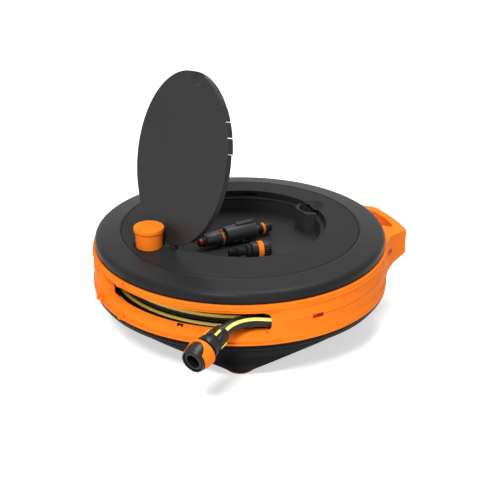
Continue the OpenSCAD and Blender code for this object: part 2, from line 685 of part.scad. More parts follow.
table_wall_r = table_r - 10.2;
table_screw_at = [165, 240, 292, 345];
table_screw_out = core_r - core_wall - 5.5;
table_screw_r = 1.6;
tray_mid = [tray_x, tray_y, 0];
open_at = hinge_at - 180;
lid_r = recess_r - lid_gap;
ledge_z = top_z - ledge_depth;
well_r = recess_r - ledge_w;
tray_z = top_z - tray_depth;
plate_z = top_z - plate_t;
dish_ball = 31;
dish_sink = 7;
cup_at = recess_r + 0.5;
cup_wall = 5.5;
cup_front = 2;
cup_floor = flange_top + 0.6 + 2.6;
hinge_z = top_z - hinge_drop;
finger_at = 54.5;
knob_z = top_z - knob_seat;

// Moves children from the tray's middle along the line through the hinge
module from_tray(out, side = 0, z = 0, a = open_at) {
    translate(tray_mid) rotate([0, 0, a]) translate([out, side, z]) children();
}

module hinge_slots() {
    for (s = [-1, 1]) from_tray(recess_r - 6, s * arm_at - arm_w / 2 - 0.4, hinge_z - 6, hinge_at)
        cube([hinge_out - recess_r + 6 + 7.6, arm_w + 0.8, top_z - hinge_z + 7]);
}

module dish(grow) {
    from_tray(recess_r, 0, top_z + dish_ball - dish_sink) sphere(r = dish_ball + grow, $fn = 64);
}

module turntable() color(black) difference() {
    union() {
        difference() {
            union() {
                turned([[0, plate_z], [table_r - plate_t, plate_z], [table_r - plate_t, top_z - 8],
                    [table_r, top_z - 8], [table_r, top_z - 0.6], [table_r - 0.6, top_z], [0, top_z]]);
                translate(tray_mid) translate([0, 0, ledge_z - 3])
                    cylinder(r = recess_r + tray_wall, h = plate_z - ledge_z + 3 + cut, $fn = round_n);
            }
            from_tray(0, 0, ledge_z) cylinder(r = recess_r, h = ledge_depth + cut, $fn = round_n);
            from_tray(0, 0, ledge_z - 3 - cut) cylinder(r = well_r, h = 3 + 2 * cut, $fn = round_n);
            from_tray(cup_at, 0, ledge_z - 3 - cut)
                cylinder(r = cup_r + cup_wall + 0.4, h = plate_z - ledge_z + 3 + cut, $fn = 64);
        }
        tube_of(table_wall_r + plate_t / 2, table_wall_r - plate_t / 2, flange_top, plate_z + cut);
        for (a = table_screw_at) at_polar(table_screw_out, a, flange_top)
            cylinder(r = 4.5, h = plate_z - flange_top + cut, $fn = 32);
        at_polar(knob_out, knob_at, knob_z - 8) cylinder(r = knob_r + 2.5, h = 8.6, $fn = 48);
        for (s = [-1, 1], e = [-1, 1])
            from_tray(hinge_out, s * arm_at + e * (arm_w / 2 + 3) + 2.5, hinge_z, hinge_at) {
                rotate([90, 0, 0]) cylinder(r = 4.5, h = 5, $fn = 32);
                translate([-4.5, -5, 0]) cube([9, 5, plate_z - hinge_z + cut]);
            }
        intersection() {
            dish(2.2);
            from_tray(recess_r + 4, -30, ledge_z) cube([40, 60, plate_z - ledge_z + cut]);
        }
    }
    dish(0);
    hinge_slots();
    for (s = [-1, 1]) from_tray(hinge_out, s * arm_at + 15, hinge_z, hinge_at) rotate([90, 0, 0])
        cylinder(r = hinge_pin_r, h = 30, $fn = 32);
    for (s = [-1, 1]) from_tray(recess_r - 1, 0, 0, open_at + s * finger_at)
        translate([0, -13.5, ledge_z + 1.8]) cube([tray_wall + 3, 27, 4]);
    at_polar(knob_out, knob_at, knob_z) cylinder(r = knob_r + 0.6, h = knob_seat + cut, $fn = 64);
    at_polar(knob_out, knob_at, knob_z - 9) cylinder(r = knob_pin_r, h = 10, $fn = 48);
    at_polar(knob_out, knob_at, knob_z - 8 - cut) cylinder(r = knob_pin_r + 3.2, h = 2 + cut, $fn = 48);
    for (a = table_screw_at) at_polar(table_screw_out, a, flange_top - cut) cylinder(r = table_screw_r,
        h = 13, $fn = 24);
    for (a = tray_screw_at) from_tray(well_r + ledge_w / 2 + 0.6, 0, ledge_z - 3 - cut, a)
        cylinder(r = 1.2, h = 2.2 + cut, $fn = 24);
}

module turntable_screws() color(steel) for (a = table_screw_at)
    at_polar(table_screw_out, a, drum_top) screw(table_screw_r, 12, 3.2, 2.2);

tray_screw_at = [75:90:345];
flange_z = ledge_z - 3;
module storage_tray() color(black) difference() {
    union() {
        translate(tray_mid) turned(concat([[0, tray_z - tray_wall], [well_r - 8 + tray_wall,
            tray_z - tray_wall]],
            arc([well_r - 8, tray_z + 8], 8 + tray_wall, -85, 0, 5),
            [[well_r + tray_wall, flange_z - 2.5], [recess_r + 1.8, flange_z - 2.5], [recess_r + 1.8,
                flange_z],
                [well_r, flange_z]], arc([well_r - 8, tray_z + 8], 8, 0, -90, 5), [[0, tray_z]]));
        intersection() {
            from_tray(cup_at, 0, tray_z - 0.5) cylinder(r = cup_r + cup_wall,
                h = top_z - 4 - tray_z + 0.5, $fn = 64);
            union() {
                from_tray(0, 0, tray_z - 0.5) cylinder(r = well_r + 1, h = top_z - 4 - tray_z + 0.5,
                    $fn = round_n);
                from_tray(0, 0, cup_floor - 2.6) cylinder(r = lid_r - 3.5,
                    h = top_z - 4 - cup_floor + 2.6, $fn = round_n);
                from_tray(0, 0, cup_floor - 2.6) cylinder(r = recess_r + 40,
                    h = ledge_z - cup_floor + 2.6, $fn = round_n);
            }
            from_tray(cup_at - cup_r - cup_front, -40, tray_z - 1) cube([90, 80, tray_depth]);
        }
        difference() {
            from_tray(cup_at, 0, cup_floor) cylinder(r = cup_r + cup_wall,
                h = plate_z - fit - cup_floor, $fn = 64);
            from_tray(0, 0, cup_floor - cut) cylinder(r = recess_r + 0.4, h = plate_z, $fn = round_n);
        }
    }
    from_tray(cup_at, 0, cup_floor) cylinder(r = cup_r, h = 60, $fn = 64);
    for (a = tray_screw_at) from_tray(well_r + ledge_w / 2 + 0.6, 0, flange_z - 2.5 - cut, a)
        cylinder(r = 1.4, h = 2.5 + 2 * cut, $fn = 24);
}

module tray_screws() color(steel) for (a = tray_screw_at)
    from_tray(well_r + ledge_w / 2 + 0.6, 0, flange_z - 2.5, a) screw(1.2, 4.5, 2.4, 1.6);

module knob_pin() color(steel) at_polar(knob_out, knob_at, knob_z - 8) {
    cylinder(r = knob_pin_r + 3, h = 1.9, $fn = 48);
    cylinder(r = knob_pin_r - 0.02, h = 8 + knob_h * 0.7, $fn = 48);
}

module crank_knob() color(orange) at_polar(knob_out, knob_at, knob_z) difference() {
    h = knob_h + knob_seat;
    turned(concat([[0, fit], [knob_body_r - 0.8, fit], [knob_body_r, 1.2], [knob_body_r + 0.9, h - 8.5],
        [knob_r, h - 6.2], [knob_r, h - 2]], arc([knob_r - 2, h - 2], 2, 15, 90, 4), [[0, h]]), 72);
    translate([0, 0, fit - cut]) cylinder(r = knob_pin_r + 0.06, h = knob_h * 0.7 + 0.4, $fn = 48);
}

// Lid, drawn closed and then swung open about its hinge pin

skirt_t = 2.5;
skirt_z = ledge_z + 2.4;
tab_z = ledge_z + 0.35;

module skirt_sector(from, to, z0) {
    rotate([0, 0, from]) rotate_extrude(angle = to - from, $fn = round_n)
        polygon([[lid_r - skirt_t, z0], [lid_r, z0], [lid_r, top_z - 1], [lid_r - skirt_t, top_z - 1]]);
}

module closed_lid() difference() {
    union() {
        turned([[0, top_z - lid_t], [lid_r - 2.4, top_z - lid_t], [lid_r, top_z - 0.5],
            [lid_r - 0.5, top_z], [0, top_z]]);
        skirt_sector(-finger_at + 16, finger_at - 16, ledge_z + 0.8);
        for (s = [-1, 1]) {
            skirt_sector(s * 106.7 - 36.3, s * 106.7 + 36.3, skirt_z);
            for (k = [-1, 0, 1]) skirt_sector(s * finger_at + k * 10.7 - 4.9,
                s * finger_at + k * 10.7 + 4.9, tab_z);
            rotate([0, 0, s * finger_at - 3.6]) rotate_extrude(angle = 7.2, $fn = round_n)
                polygon([[lid_r - 1, ledge_z + 2.6], [lid_r + lid_gap - 0.3, ledge_z + 3.4],
                    [lid_r + lid_gap - 0.3, ledge_z + 4.4], [lid_r - 1, ledge_z + 5.2]]);
        }
        intersection() {
            translate([lid_r + 0.2, 0, top_z + dish_ball - dish_sink]) sphere(r = dish_ball + 2, $fn = 64);
            translate([0, 0, top_z - 12]) cylinder(r = lid_r, h = 11, $fn = round_n);
        }
        for (s = [-1, 1]) translate([-hinge_out, s * arm_at + arm_w / 2, hinge_z]) rotate([90, 0, 0]) {
            cylinder(r = 4.5, h = arm_w, $fn = 32);
            linear_extrude(height = arm_w) polygon([[hinge_out - lid_r + 8.5, hinge_drop - lid_t + 0.6],
                [hinge_out - lid_r + 1, hinge_drop - 0.3], [0.5, hinge_drop - 0.3], [-3.9, 2.2], [0,
                    -4.4], [3.6, -2.7],
                [hinge_out - lid_r + 3.4, hinge_drop - lid_t - 2]]);
        }
    }
    translate([lid_r + 0.2, 0, top_z + dish_ball - dish_sink]) sphere(r = dish_ball, $fn = 64);
    translate([-hinge_out, 60, hinge_z]) rotate([90, 0, 0]) cylinder(r = hinge_pin_r + 0.08, h = 120,
        $fn = 32);
}

module lid() color(black) translate(tray_mid) rotate([0, 0, open_at])
    translate([-hinge_out, 0, hinge_z]) rotate([0, -lid_open, 0]) translate([hinge_out, 0,
        -hinge_z]) closed_lid();

module lid_hinge_pin() color(steel) for (s = [-1, 1])
    from_tray(hinge_out, s * arm_at + arm_w / 2 + 5.5, hinge_z, hinge_at) rotate([90, 0, 0])
        cylinder(r = hinge_pin_r - 0.02, h = arm_w + 11, $fn = 32);

// Water inlet under the case

inlet_at = 90;
inlet_z = foot_h - spindle_flange_t - spigot_l - inlet_arm_r + 1.5;
cup_in_r = spigot_r + 0.1;
inlet_cup_top = foot_h - spindle_flange_t - 0.4;

module inlet_elbow() color(black) difference() {
    union() {
        translate([0, 0, inlet_z - inlet_arm_r]) cylinder(r = cup_in_r + 3,
            h = inlet_cup_top - inlet_z + inlet_arm_r, $fn = 64);
        at_polar(0, inlet_at, inlet_z) rotate([0, 90, 0]) {
            cylinder(r = inlet_arm_r, h = inlet_reach - 34, $fn = 48);
            turned_neck();
        }
    }
    translate([0, 0, foot_h - spindle_flange_t - spigot_l - 0.3])
        cylinder(r = cup_in_r, h = spigot_l + 1, $fn = round_n);
    translate([0, 0, inlet_z]) cylinder(r = bore_r - 0.5, h = spigot_l, $fn = 48);
    translate([0, 0, foot_h - spindle_flange_t - spigot_l + 1.1]) cylinder(r = cup_in_r + 1, h = 1.6,
        $fn = 48);
    at_polar(0, inlet_at, inlet_z) rotate([0, 90, 0]) cylinder(r = 4.5, h = inlet_reach + 1, $fn = 32);
}

// Standard plug end with its collar, neck and seal groove
module turned_neck() {
    turned([[0, inlet_reach - 35], [inlet_arm_r + 2, inlet_reach - 35], [inlet_arm_r + 2, inlet_reach - 30],
        [inlet_neck_r, inlet_reach - 30], [inlet_neck_r, inlet_reach - 20], [inlet_neck_r + 1.4,
            inlet_reach - 19],
        [inlet_neck_r + 1.4, inlet_reach - 16.5], [inlet_neck_r - 1.2, inlet_reach - 14],
        [inlet_neck_r - 1.2, inlet_reach - 7], [inlet_neck_r - 2.4, inlet_reach - 7],
        [inlet_neck_r - 2.4, inlet_reach - 4.4], [inlet_neck_r - 1.2, inlet_reach - 4.4],
        [inlet_neck_r - 2, inlet_reach], [0, inlet_reach]], 48);
}

module inlet_seal() color(soft_black) {
    at_polar(0, inlet_at, inlet_z) rotate([0, 90, 0]) translate([0, 0, inlet_reach - 5.7])
        rotate_extrude($fn = 48) translate([inlet_neck_r - 1.3, 0]) circle(r = 1.05, $fn = 24);
}

module inlet_clip() color(steel)
    tube_of(spigot_r + 0.9, spigot_r - 1.1, foot_h - spindle_flange_t - spigot_l + 1.3,
        foot_h - spindle_flange_t - spigot_l + 2.5);

// Free hose end and its connector

hose_r_lane = inner_r - fit - hose_d / 2;
// Route of the free hose: along the inside of the case, then one bend out through the slot
route_turn = 279;
route_rise = 0.16;
function bezier(p, t) = pow(1 - t, 3) * p[0] + 3 * pow(1 - t, 2) * t * p[1]
    + 3 * (1 - t) * t * t * p[2] + pow(t, 3) * p[3];
nut_from = [-24, -242.5, 100.5];
nut_az = 235.3;
nut_rise = -11.5;
nut_way = [cos(nut_az) * cos(nut_rise), sin(nut_az) * cos(nut_rise), sin(nut_rise)];
lane_end = polar3(hose_r_lane, route_turn, 99.5);
lane_way = [sin(route_turn), -cos(route_turn), route_rise];
route_bend = [lane_end, lane_end + 28 * lane_way, nut_from - 20 * nut_way, nut_from];
free_route = concat([for (k = [3:-1:1]) polar3(hose_r_lane, route_turn + 3.2 * k,
    99.5 - 11.7 * route_rise * k)],
    [for (i = [0:8]) bezier(route_bend, i / 8)], [nut_from + 3 * nut_way]);

module on_connector() aimed(nut_from, nut_az, nut_rise) children();

module free_hose() color(soft_black) swept(free_route, hose_d / 2, 10);

nut_l = 24;
nut_r = hose_d / 2 + 6;
tail_at_nut = 3.3;
module hose_nut() color(black) on_connector() difference() {
    turned([[hose_d / 2 + 0.4, 0], [hose_d / 2 + 2.6, 0], [hose_d / 2 + 3.6, 1], [nut_r - 1.4, 10],
        [nut_r, 17], [nut_r, nut_l - 1], [nut_r - 1, nut_l], [hose_d / 2 + 0.4, nut_l]], 64);
    for (a = [0:30:330]) rotate([0, 0, a + 15]) translate([nut_r + 0.9, 0, 5]) cylinder(r = 1.8,
        h = 20, $fn = 24);
}

grip_n = 4;
module nut_grips() color(yellow) on_connector() for (k = [0:grip_n - 1]) rotate([0, 0,
    k * 360 / grip_n + 65])
    intersection() {
        translate([nut_r + 0.5, 0, 16.5]) cube([2.4, 3.4, 12], center = true);
        translate([0, 0, 10]) tube_of(nut_r + 1, nut_r + 0.02, 0, 13, 64);
    }

collar_from = connector_l - 26;
collar_l = 20;
sleeve_r = collar_r - 3.4;
core_tube_r = collar_r - 6.4;
seat_l = connector_l - mouth_l;
stop_l = collar_from - release_travel - 0.5;
module connector_body() color(soft_black) on_connector() difference() {
    turned([[0, tail_at_nut], [hose_d / 2, tail_at_nut], [hose_d / 2, nut_l + 0.3], [nut_r - 1,
        nut_l + 0.3],
        [nut_r + 0.4, nut_l + 2], [sleeve_r - 0.6, nut_l + 8], [sleeve_r, stop_l - 1.5],
            [sleeve_r - 0.8, stop_l],
        [core_tube_r, stop_l], [core_tube_r, connector_l - 3], [core_tube_r - 1, connector_l - 2], [0,
            connector_l - 2]], 64);
    translate([0, 0, seat_l + 2.5]) cylinder(r = mouth_r, h = mouth_l, $fn = 64);
    translate([0, 0, seat_l]) cylinder(r = mouth_r - 0.3, h = 3, $fn = 64);
    translate([0, 0, -1]) cylinder(r = 4.5, h = seat_l + 2, $fn = 32);
}

module mouth_seal() color(red) on_connector() translate([0, 0, seat_l + 0.05])
    tube_of(mouth_r - 0.35, mouth_r - 3.4, 0, 2.4, 64);

// Two thumb pads on the sleeve fill the scallops in the collar's front
pad_scallop = 15;
module collar_scallops(grow) for (a = [0, 180]) rotate([0, 0, a - 175])
    translate([0, 0, collar_from + pad_scallop + 4.5]) rotate([0, 90,
        0]) cylinder(r = pad_scallop + grow, h = 30, $fn = 48);

module release_collar() color(orange) on_connector() difference() {
    turned([[core_tube_r + 0.3, collar_from], [collar_r - 1.5, collar_from], [collar_r, collar_from + 1.8],
        [collar_r, collar_from + 6], [collar_r - 0.8, collar_from + 12], [collar_r - 1.4,
            collar_from + collar_l - 1],
        [collar_r - 2, collar_from + collar_l], [sleeve_r + 0.02, collar_from + collar_l],
        [sleeve_r + 0.02, collar_from + 4], [core_tube_r + 0.3, collar_from + 4]], 64);
    collar_scallops(0);
}

module release_sleeve() color(black) on_connector() {
    turned([[core_tube_r + 0.3, collar_from + 4.05], [sleeve_r, collar_from + 4.05], [sleeve_r,
        connector_l - 2.5],
        [sleeve_r - 0.6, connector_l - 0.6], [sleeve_r - 1.6, connector_l], [core_tube_r + 0.9,
            connector_l],
        [core_tube_r + 0.3, connector_l - 0.8]], 64);
    intersection() {
        turned([[sleeve_r - 0.5, collar_from + 5], [collar_r - 1.8, collar_from + 5.5],
            [collar_r - 2.6, connector_l - 6], [sleeve_r - 0.5, connector_l - 3]], 64);
        collar_scallops(-0.3);
    }
}

// Spray nozzle that lies in the tray

nozzle_r = 11;
nozzle_from = [-57, 2, tray_z + nozzle_r + 0.3];
nozzle_az = 30;
module on_nozzle() aimed(nozzle_from, nozzle_az) children();

module nozzle_cap() color(red) on_nozzle() turned([[0, -8], [4, -8], [5.5, -7], [5.5, -0.05], [0,
    -0.05]], 32);

module nozzle_body() color(black) on_nozzle() difference() {
    turned([[0, 0], [7, 0], [8, 1], [nozzle_r - 1, 30], [nozzle_r - 1, 34], [nozzle_r, 36.5],
        [nozzle_r, 90],
        [nozzle_r - 1.2, 93], [4, 93], [4, 103], [0, 103]], 64);
    for (a = [0:30:330]) rotate([0, 0, a]) translate([nozzle_r + 1, 0, 42]) cylinder(r = 1.7, h = 42,
        $fn = 24);
}

module nozzle_ring() color(orange) on_nozzle() tube_of(nozzle_r - 0.2, nozzle_r - 0.98, 31, 33.5, 64);

module nozzle_head() color(soft_black) on_nozzle() difference() {
    turned([[0, 93.3], [6.5, 93.3], [6.5, 99], [8.4, 101], [8.4, 116], [7, 120], [0, 120]], 48);
    translate([0, 0, 92]) cylinder(r = 4.06, h = 11.5, $fn = 32);
    translate([0, 0, 106]) cylinder(r = 1.9, h = 16, $fn = 32);
    tube_of(10, 7.4, 104, 108, 48);
}

module nozzle_collar() color(orange) on_nozzle() tube_of(9, 7.45, 104.1, 107.9, 48);

// Small tap coupler that lies in the tray

coupler_r = 13;
coupler_from = [-17, -43, tray_z + coupler_r + 0.9];
coupler_az = 15;
module on_coupler() aimed(coupler_from, coupler_az) children();

module coupler_body() color(black) on_coupler() difference() {
    turned([[0, 0], [4.6, 0], [5.4, 1], [5.4, 3.6], [4.2, 3.6], [4.2, 6.2], [5.4, 6.2], [5.4, 12],
        [7.4, 14], [7.4, 16.5],
        [5.8, 18], [5.8, 26], [9.5, 28], [9.5, 62], [0, 62]], 48);
    translate([0, 0, -1]) cylinder(r = 3, h = 50, $fn = 32);
    translate([0, 0, 46]) cylinder(r = 7.6, h = 20, $fn = 48);
}

module coupler_seal() color(soft_black) on_coupler() translate([0, 0, 4.9])
    rotate_extrude($fn = 48) translate([4.9, 0]) circle(r = 0.68, $fn = 20);

module coupler_sleeve() color(orange) on_coupler() turned([[9.8, 34], [11, 34], [coupler_r - 0.4, 36],
    [coupler_r - 0.4, 45], [coupler_r + 0.3, 46], [coupler_r + 0.3, 51], [coupler_r - 0.4, 52],
        [coupler_r - 0.6, 60],
    [11.4, 64], [9.8, 64]], 48);

base_shell();
foot_pads();
lower_case();
upper_case();
top_ring();
seam_clips();
case_screws();
ring_screws();
spindle();
spindle_screws();
spindle_nut();
spindle_washer();
slide_ring();
drum();
hose_inner_layers();
hose_outer_layer();
hose_tail();
hose_clamp();
rotary_fitting();
spindle_seals();
fitting_screws();
turntable();
turntable_screws();
storage_tray();
tray_screws();
knob_pin();
crank_knob();
lid();
lid_hinge_pin();
inlet_elbow();
inlet_seal();
inlet_clip();
free_hose();
hose_nut();
nut_grips();
connector_body();
mouth_seal();
release_collar();
release_sleeve();
nozzle_body();
nozzle_ring();
nozzle_head();
nozzle_cap();
nozzle_collar();
coupler_body();
coupler_sleeve();
coupler_seal();
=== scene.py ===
"""A flat garden hose reel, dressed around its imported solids: floor, light and camera first, then
the hose, the finishes of the solids, and the small trim that the solids leave out."""
import math

import bpy
from mathutils import Matrix, Vector


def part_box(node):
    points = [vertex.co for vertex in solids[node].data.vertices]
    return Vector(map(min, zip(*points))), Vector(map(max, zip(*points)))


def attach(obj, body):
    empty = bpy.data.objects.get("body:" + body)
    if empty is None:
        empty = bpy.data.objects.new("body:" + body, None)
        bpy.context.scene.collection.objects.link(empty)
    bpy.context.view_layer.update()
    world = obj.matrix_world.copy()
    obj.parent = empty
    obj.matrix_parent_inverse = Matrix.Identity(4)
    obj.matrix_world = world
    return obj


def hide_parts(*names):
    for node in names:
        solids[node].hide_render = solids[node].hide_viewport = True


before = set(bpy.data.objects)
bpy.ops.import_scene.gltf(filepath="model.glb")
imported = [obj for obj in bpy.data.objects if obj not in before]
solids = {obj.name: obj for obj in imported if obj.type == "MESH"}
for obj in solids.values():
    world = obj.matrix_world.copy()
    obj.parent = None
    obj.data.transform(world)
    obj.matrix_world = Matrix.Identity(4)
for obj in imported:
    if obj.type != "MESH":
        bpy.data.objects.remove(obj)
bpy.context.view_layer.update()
scene = bpy.context.scene
scene.view_settings.view_transform = "Standard"
bpy.ops.object.select_all(action="DESELECT")


# Floor, world and lamps
# A pale studio floor that runs out to white. The world is white to the eye, in gloss and through
# glass, and a soft grey to everything else, so the lamps above do most of the lighting.

def linear(code):
    """An sRGB hex colour as Blender's linear colour."""
    parts = [int(code[i:i + 2], 16) / 255 for i in (1, 3, 5)]
    return tuple(p / 12.92 if p <= 0.04045 else ((p + 0.055) / 1.055) ** 2.4 for p in parts) + (1.0,)


def add(tree, kind, links=None, **settings):
    """Adds one node. A setting is a property of the node or the value of an input; a link feeds an input."""
    item = tree.nodes.new(kind)
    for key, value in settings.items():
        if hasattr(item, key):
            setattr(item, key, value)
        else:
            item.inputs[int(key[1:]) if key[1:].isdigit() else key.replace("_", " ")].default_value = value
    for key, source in (links or {}).items():
        tree.links.new(source, item.inputs[key])
    return item


def blank_material(name):
    """A new material and its node tree, which is empty."""
    made = bpy.data.materials.new(name)
    made.use_nodes = True
    made.node_tree.nodes.clear()
    return made, made.node_tree


world = bpy.data.worlds.new("white_studio")
scene.world = world
world.use_nodes = True
tree = world.node_tree
tree.nodes.clear()
ray = add(tree, "ShaderNodeLightPath")
direct = add(tree, "ShaderNodeMath", {0: ray.outputs["Is Camera Ray"], 1: ray.outputs["Is Transmission Ray"]},
             operation="MAXIMUM")
seen = add(tree, "ShaderNodeMath", {0: direct.outputs[0], 1: ray.outputs["Is Glossy Ray"]}, operation="MAXIMUM")
ambient = add(tree, "ShaderNodeBackground", Color=linear("#f6f7f8"), Strength=0.26)
white = add(tree, "ShaderNodeBackground", Color=(1.0, 1.0, 1.0, 1.0), Strength=1.0)
sky = add(tree, "ShaderNodeMixShader", {0: seen.outputs[0], 1: ambient.outputs[0], 2: white.outputs[0]})
add(tree, "ShaderNodeOutputWorld", {"Surface": sky.outputs[0]})

bpy.ops.mesh.primitive_plane_add(size=14, location=(0, 0, 0))
floor = bpy.context.object
floor.name = "studio_floor"
material, tree = blank_material("pale_floor_paint")
ray = add(tree, "ShaderNodeLightPath")
matt = add(tree, "ShaderNodeBsdfDiffuse", Color=linear("#f2f2f2"))
glow = add(tree, "ShaderNodeEmission", Color=(1.0, 1.0, 1.0, 1.0), Strength=0.56)
lit = add(tree, "ShaderNodeAddShader", {0: matt.outputs[0], 1: glow.outputs[0]})
seen = add(tree, "ShaderNodeMixShader", {0: ray.outputs["Is Camera Ray"], 1: matt.outputs[0], 2: lit.outputs[0]})
add(tree, "ShaderNodeOutputMaterial", {"Surface": seen.outputs[0]})
floor.data.materials.append(material)

for name, place, aim, size, watts in (
        ("key_lamp", (-0.45, -1.4, 1.75), (0.0, 0.0, 0.1), 0.7, 42.0),
        ("top_lamp", (0.3, 0.5, 2.0), (0.0, 0.0, 0.1), 1.2, 32.0),
        ("front_lamp", (1.0, -2.1, 0.9), (0.0, 0.0, 0.1), 0.9, 7.0),
        ("side_lamp", (-1.3, 0.15, 0.3), (0.0, 0.0, 0.25), 0.4, 0.6)):
    bpy.ops.object.light_add(type="AREA", location=place)
    lamp = bpy.context.object
    lamp.name = name
    lamp.data.shape = "DISK"
    lamp.data.size = size
    lamp.data.energy = watts
    lamp.rotation_euler = (Vector(aim) - Vector(place)).to_track_quat("-Z", "Y").to_euler()

# Camera
# A long lens, 1.8 m from the middle of the reel and 24.5 degrees above it, as in the photograph.
CAMERA_RISE = math.radians(24.456)
CAMERA_AWAY = 1.8
CAMERA_AIM = Vector((0.0, 0.0, 0.1272))
toward_camera = Vector((0, -math.cos(CAMERA_RISE), math.sin(CAMERA_RISE)))
bpy.ops.object.camera_add(location=CAMERA_AIM + CAMERA_AWAY * toward_camera,
                          rotation=(math.pi / 2 - CAMERA_RISE, 0, 0))
camera = bpy.context.object
camera.name = "camera"
camera.data.sensor_width = 36.0
camera.data.lens = 88.33
scene.camera = camera


# Free end of the hose
# A half inch hose of knitted PVC, 17 mm outside, with a co-extruded yellow stripe. Its end comes
# out of the side slot in one easy curve and carries the click connector.
HOSE_D = 0.017
RING_SPACING = 0.0022
ROUTE_STEP = 0.0025
FREE_ROUTE = [(0.0670452, -0.199221, 0.093884), (0.0558199, -0.202653, 0.095756), (0.0444205, -0.205453, 0.097628),
              (0.0328825, -0.207612, 0.0995), (0.0229559, -0.209708, 0.100993), (0.0138965, -0.212645, 0.102107),
              (0.00567313, -0.216327, 0.102837), (-0.00174558, -0.220656, 0.103175), (-0.00839094, -0.225535, 0.103117),
              (-0.0142943, -0.230867, 0.102656), (-0.0194868, -0.236554, 0.101786), (-0.024, -0.2425, 0.1005),
              (-0.0256736, -0.244917, 0.0999019)]


def smooth_route(points, step):
    """A finer route through the same points, with one uniform spline."""
    points = [Vector(p) for p in points]
    padded = [2 * points[0] - points[1]] + points + [2 * points[-1] - points[-2]]
    out = []
    for a, b, c, d in zip(padded, padded[1:], padded[2:], padded[3:]):
        count = max(1, round((c - b).length / step))
        for k in range(count):
            t = k / count
            out.append(0.5 * ((2 * b) + (c - a) * t + (2 * a - 5 * b + 4 * c - d) * t * t
                              + (3 * b - a - 3 * c + d) * t ** 3))
    return out + [points[-1]]


def hose_mesh(name, route, radius, sides, twist=0.0):
    """A closed round tube along a route. Its UV map holds the angle around, which may drift by so
    many turns a metre as a hose twists, and the metres along."""
    verts, faces, spans = [], [], [0.0]
    for i, p in enumerate(route):
        ahead = (route[min(i + 1, len(route) - 1)] - route[max(i - 1, 0)]).normalized()
        side = ahead.cross(Vector((0, 0, 1))).normalized()
        up = side.cross(ahead)
        if i:
            spans.append(spans[-1] + (p - route[i - 1]).length)
        for k in range(sides):
            a = 2 * math.pi * k / sides
            verts.append(p + radius * (math.cos(a) * side + math.sin(a) * up))
    for i in range(len(route) - 1):
        for k in range(sides):
            n = (k + 1) % sides
            faces.append((i * sides + n, i * sides + k, (i + 1) * sides + k, (i + 1) * sides + n))
    last = (len(route) - 1) * sides
    faces.append(tuple(range(sides)))
    faces.append(tuple(last + k for k in reversed(range(sides))))
    mesh = bpy.data.meshes.new(name)
    mesh.from_pydata([tuple(v) for v in verts], [], faces)
    around = mesh.uv_layers.new(name="around")
    for face in mesh.polygons:
        ring = face.index // sides
        for n, loop in enumerate(face.loop_indices):
            vert = mesh.loops[loop].vertex_index
            k = vert % sides
            wrapped = face.index < (len(route) - 1) * sides and face.index % sides == sides - 1 and k == 0
            along = spans[min(vert // sides, len(spans) - 1)]
            around.data[loop].uv = ((k + (sides if wrapped else 0)) / sides - twist * along, along)
        face.use_smooth = len(face.vertices) == 4
    piece = bpy.data.objects.new(name, mesh)
    scene.collection.objects.link(piece)
    return piece


def hose_material(name, stripe_at, stripe_colour, stripe_width=0.0047):
    """Black soft PVC, satin, with one stripe and the faint rings that the cooling bath leaves."""
    made, tree = blank_material(name)
    around = add(tree, "ShaderNodeUVMap", uv_map="around")
    axes = add(tree, "ShaderNodeSeparateXYZ", {0: around.outputs[0]})
    off = add(tree, "ShaderNodeMath", {0: axes.outputs[0]}, operation="SUBTRACT", _1=stripe_at)
    wrap = add(tree, "ShaderNodeMath", {0: off.outputs[0]}, operation="WRAP", _1=0.5, _2=-0.5)
    far = add(tree, "ShaderNodeMath", {0: wrap.outputs[0]}, operation="ABSOLUTE")
    half = stripe_width / (math.pi * HOSE_D) / 2
    edge = add(tree, "ShaderNodeMapRange", {"Value": far.outputs[0]}, From_Min=half * 1.08, From_Max=half * 0.92)
    tint = add(tree, "ShaderNodeMix", {"Factor": edge.outputs[0]}, data_type="RGBA")
    tint.inputs[6].default_value = linear("#1b1b1c")
    tint.inputs[7].default_value = linear(stripe_colour)
    place = add(tree, "ShaderNodeTexCoord")
    cloud = add(tree, "ShaderNodeTexNoise", {"Vector": place.outputs["Object"]}, Scale=160.0, Detail=3.0)
    rough = add(tree, "ShaderNodeMapRange", {"Value": cloud.outputs[0]}, To_Min=0.32, To_Max=0.46)
    ring = add(tree, "ShaderNodeMath", {0: axes.outputs[1]}, operation="MULTIPLY", _1=2 * math.pi / RING_SPACING)
    wave = add(tree, "ShaderNodeMath", {0: ring.outputs[0]}, operation="SINE")
    relief = add(tree, "ShaderNodeBump", {"Height": wave.outputs[0]}, Strength=0.12, Distance=0.00012)
    skin = add(tree, "ShaderNodeBsdfPrincipled", {"Base Color": tint.outputs[2], "Roughness": rough.outputs[0],
                                                  "Normal": relief.outputs[0]}, IOR=1.5, Specular_IOR_Level=0.25)
    add(tree, "ShaderNodeOutputMaterial", {"Surface": skin.outputs[0]})
    return made


route = smooth_route(FREE_ROUTE, ROUTE_STEP)
free_hose = hose_mesh("free_hose_tube", route, HOSE_D / 2, 40)
free_hose.data.materials.append(hose_material("soft_pvc_hose_free_end", 0.39, "#f3ec7a"))
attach(free_hose, "case")
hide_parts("free_hose")

# Wound hose
# The rest of the hose lies on the drum in three layers: up, down and up again. The outermost
# layer shows in the slot. Each layer climbs by a little more than one diameter a turn.
PITCH = 0.0176
OUTER_R, OUTER_Z, OUTER_TURNS, RAMP_AT = 0.189, 0.0598, 70 / 24, 279.0
MID_R, MID_TURNS = 0.1699, 3.05
INNER_R, INNER_TURNS, INNER_START = 0.1552, 3.05, 40.0
CLIMB_ANGLE, CLIMB_STEPS = 60, 12
TURN_CLEARANCE = 0.0001


